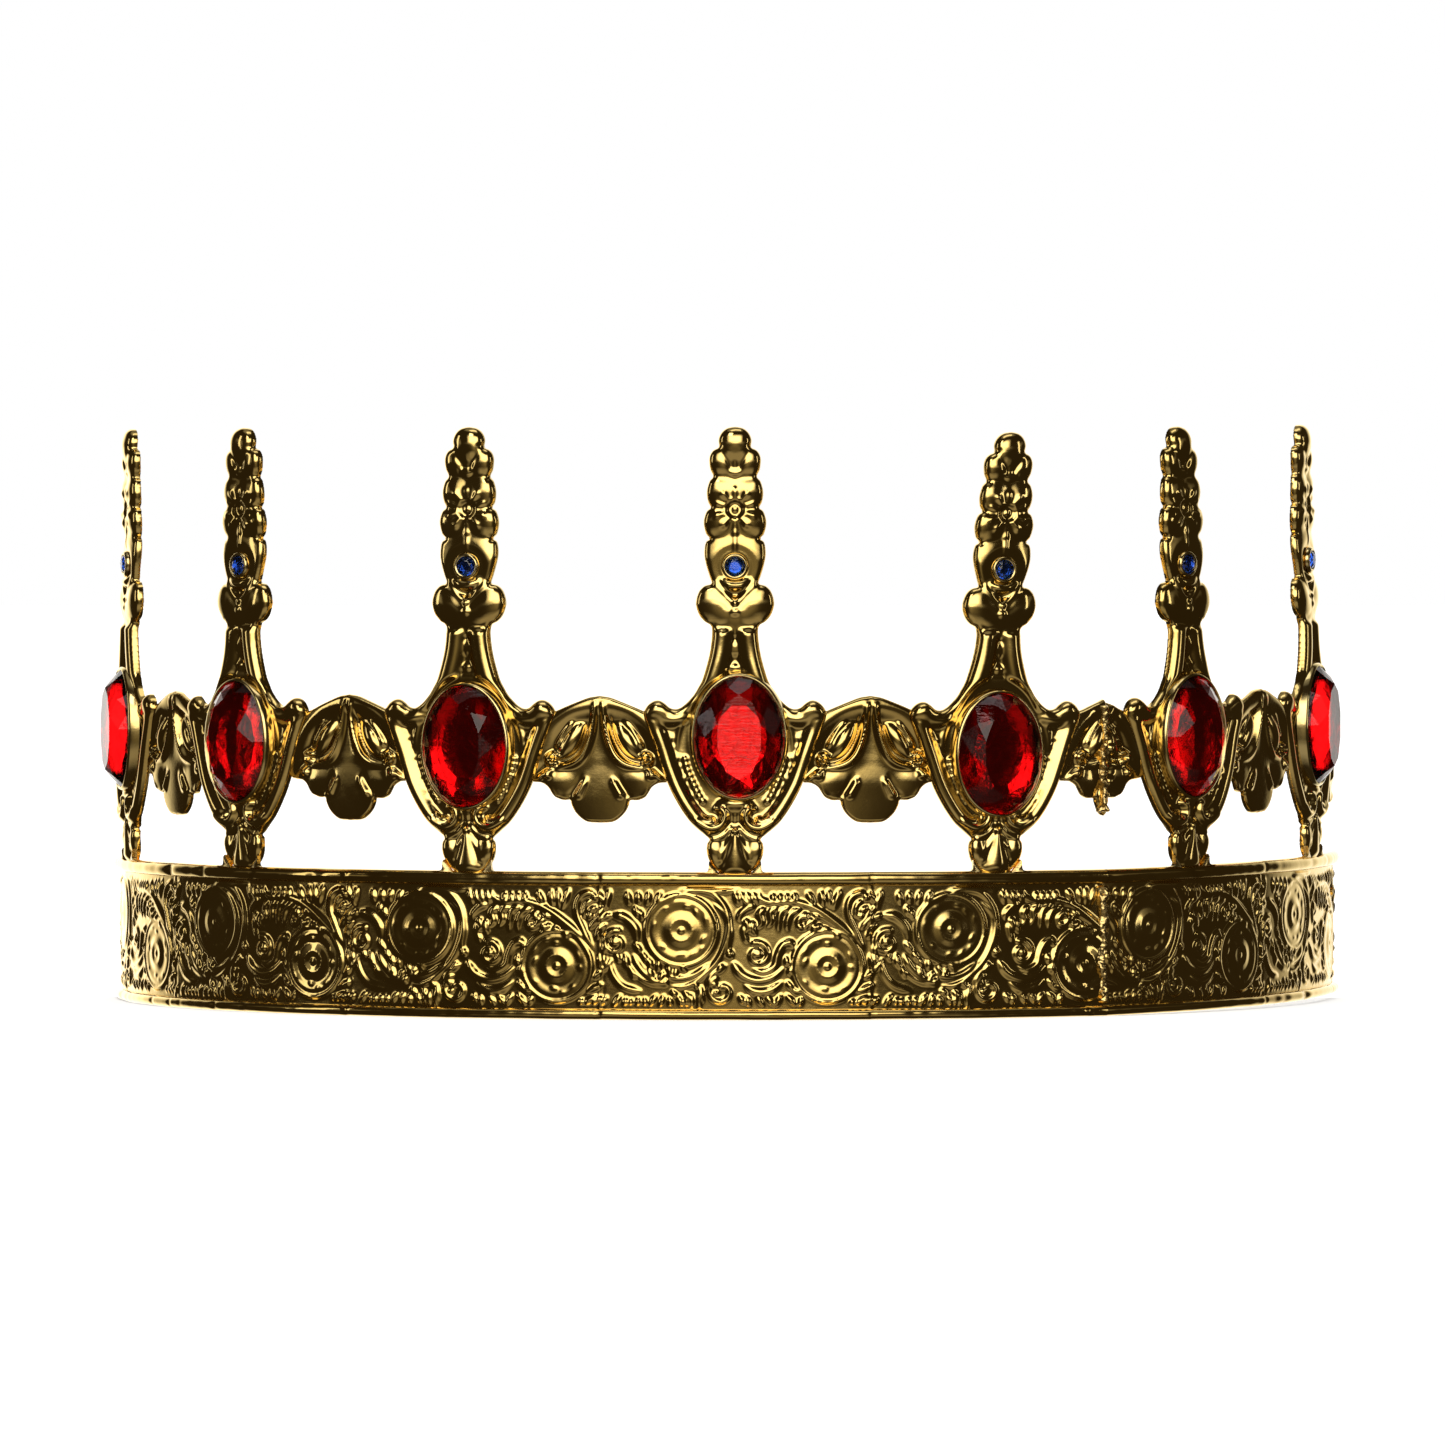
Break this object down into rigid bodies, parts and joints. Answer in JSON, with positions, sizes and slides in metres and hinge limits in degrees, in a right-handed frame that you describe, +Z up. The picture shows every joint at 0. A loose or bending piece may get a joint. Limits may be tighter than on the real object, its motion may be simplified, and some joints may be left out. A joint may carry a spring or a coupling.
{
  "type": "crown",
  "caption": "Open-backed half crown of gold-plated pressed brass with points, leaf swags, a scroll-embossed band, oval red stones and small blue stones; worn over the brow.",
  "frame": {"origin": "centre of the crown's bounding box in plan, at the base of the bottom rim", "axes": "+Z up along the points, -Y out of the front point, +X to the right of a person who looks at the front"},
  "size_m": [0.1888, 0.0874, 0.087],
  "materials": {
    "gold_plate_band": "polished gold plate, worn darker in the recesses",
    "gold_plate_points": "polished gold plate",
    "gold_plate_cups": "polished gold plate",
    "solder_plated": "plated solder, uneven",
    "red_acrylic": "polished, faceted, foil-backed",
    "blue_glass": "polished, faceted, foil-backed"
  },
  "bodies": {
    "root": {"band_long_strip": "gold_plate_band", "band_short_strip": "gold_plate_band", "top_rim_long": "gold_plate_band", "top_rim_short": "gold_plate_band", "bottom_rim_long": "gold_plate_band", "bottom_rim_short": "gold_plate_band", "band_seam_solder": "solder_plated", "leaf_seam_solder": "solder_plated", "foot_solder_joints": "solder_plated", "point_1": "gold_plate_points", "point_2": "gold_plate_points", "point_3": "gold_plate_points", "point_4": "gold_plate_points", "point_5": "gold_plate_points", "point_6": "gold_plate_points", "point_7": "gold_plate_points", "leaf_1_2": "gold_plate_points", "leaf_2_3": "gold_plate_points", "leaf_3_4": "gold_plate_points", "leaf_4_5": "gold_plate_points", "leaf_5_seam": "gold_plate_points", "leaf_6_seam": "gold_plate_points", "leaf_6_7": "gold_plate_points", "half_leaf_left_end": "gold_plate_points", "half_leaf_right_end": "gold_plate_points", "stone_cup_1": "gold_plate_cups", "stone_cup_2": "gold_plate_cups", "stone_cup_3": "gold_plate_cups", "stone_cup_4": "gold_plate_cups", "stone_cup_5": "gold_plate_cups", "stone_cup_6": "gold_plate_cups", "stone_cup_7": "gold_plate_cups", "collet_1": "gold_plate_cups", "collet_2": "gold_plate_cups", "collet_3": "gold_plate_cups", "collet_4": "gold_plate_cups", "collet_5": "gold_plate_cups", "collet_6": "gold_plate_cups", "collet_7": "gold_plate_cups", "red_stone_1": "red_acrylic", "red_stone_2": "red_acrylic", "red_stone_3": "red_acrylic", "red_stone_4": "red_acrylic", "red_stone_5": "red_acrylic", "red_stone_6": "red_acrylic", "red_stone_7": "red_acrylic", "blue_stone_1": "blue_glass", "blue_stone_2": "blue_glass", "blue_stone_3": "blue_glass", "blue_stone_4": "blue_glass", "blue_stone_5": "blue_glass", "blue_stone_6": "blue_glass", "blue_stone_7": "blue_glass"}
  },
  "joints": []
}
